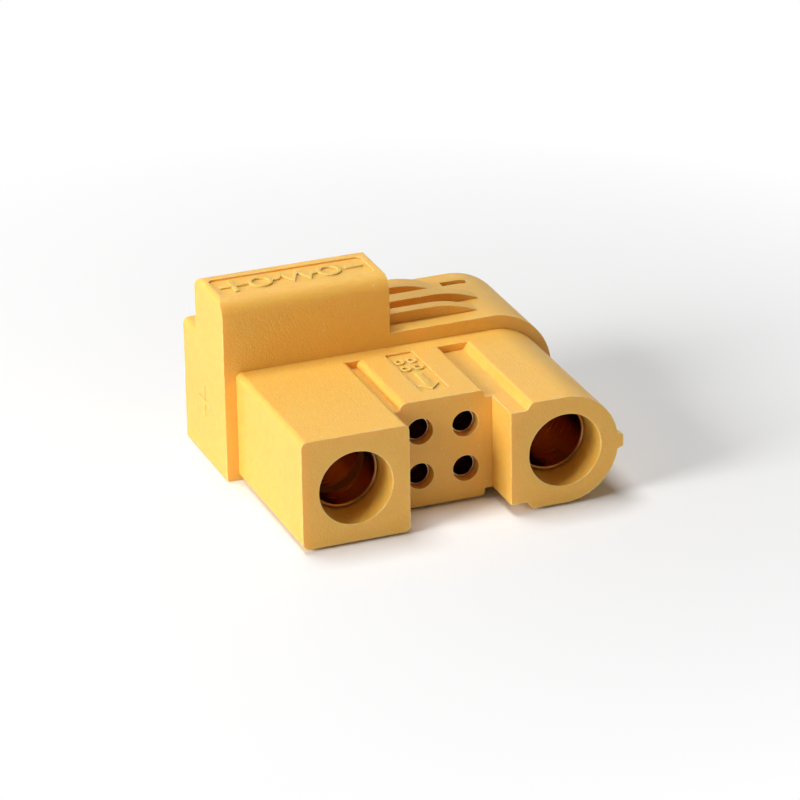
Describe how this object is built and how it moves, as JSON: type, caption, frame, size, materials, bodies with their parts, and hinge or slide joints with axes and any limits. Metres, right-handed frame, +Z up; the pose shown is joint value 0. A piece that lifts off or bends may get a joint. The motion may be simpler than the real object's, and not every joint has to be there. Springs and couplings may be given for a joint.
{
  "type": "battery connector",
  "caption": "Anti-spark battery plug: moulded housing with recessed gold-plated power sockets, small signal sockets between them, grip ribs and a raised resistor block.",
  "frame": {"origin": "centre of the body's flat underside, midway between the two power sockets", "axes": "+X from the positive to the negative socket, -Y is the way the mating plug leaves, +Z up"},
  "size_m": [0.0353, 0.0306, 0.0193],
  "materials": {
    "housing_yellow": "fine matte moulded grain",
    "cover_yellow": "fine matte moulded grain",
    "gold_plate": "gold-plated, turned",
    "insulator_brown": "satin",
    "resistor_lacquer": "lacquered",
    "tinned_wire": "tinned"
  },
  "bodies": {
    "root": {"housing": "housing_yellow", "rear_cover": "cover_yellow", "resistor_cover": "cover_yellow", "positive_contact": "gold_plate", "precharge_ring": "gold_plate", "insulating_ring": "insulator_brown", "negative_contact": "gold_plate", "resistor_body": "resistor_lacquer", "resistor_lead_ring": "tinned_wire", "resistor_lead_contact": "tinned_wire", "signal_contact_1": "gold_plate", "signal_contact_2": "gold_plate", "signal_contact_3": "gold_plate", "signal_contact_4": "gold_plate"}
  },
  "joints": []
}
